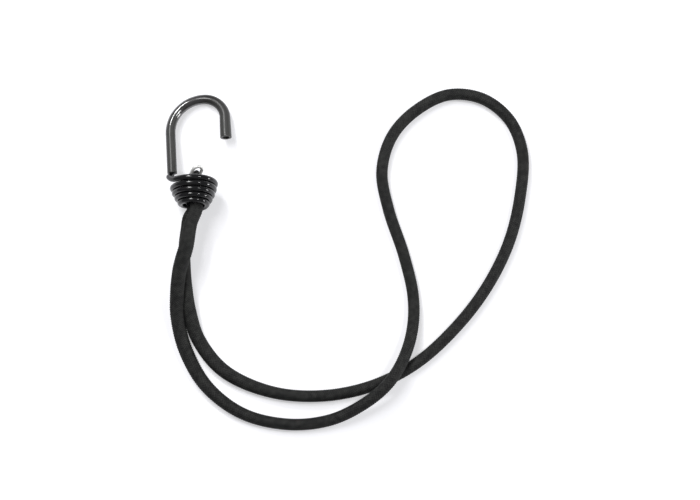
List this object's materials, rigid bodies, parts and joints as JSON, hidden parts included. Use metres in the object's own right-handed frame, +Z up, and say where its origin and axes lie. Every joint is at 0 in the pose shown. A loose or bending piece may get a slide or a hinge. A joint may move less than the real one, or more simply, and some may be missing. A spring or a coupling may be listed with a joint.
{
  "type": "bungee cord",
  "caption": "Loop of black braided shock cord with both ends held in the bell-shaped spiral of a plastic-sleeved wire hook, for strapping down or hanging loads.",
  "frame": {"origin": "on the surface that the loop lies on, under the middle of the hook's box (hook wire, sleeve and clip)", "axes": "+Y along the hook from its spiral to its crown, +Z up from the surface, +X towards the hook's free arm and the loop"},
  "size_m": [0.1965, 0.183, 0.0248],
  "materials": {
    "enamel": "glossy black coating on spring wire",
    "vinyl": "semi-gloss black soft plastic tube",
    "zinc": "bright plated wire",
    "braid": "black braided yarn",
    "rubber": "natural rubber"
  },
  "bodies": {
    "cord": {"cord_cover": "braid", "core_strand_1": "rubber", "core_strand_2": "rubber", "core_strand_3": "rubber", "core_strand_4": "rubber", "core_strand_5": "rubber", "core_strand_6": "rubber", "core_strand_7": "rubber", "cord_clip": "zinc"},
    "hook": {"hook_wire": "enamel", "hook_sleeve": "vinyl"}
  },
  "joints": [
    {"name": "hook_swivel", "type": "hinge", "parent": "cord", "child": "hook", "pos_m": [-0.00383, -0.01732, 0.01216], "axis": [0, 0.9799, -0.1995], "continuous": true}
  ]
}
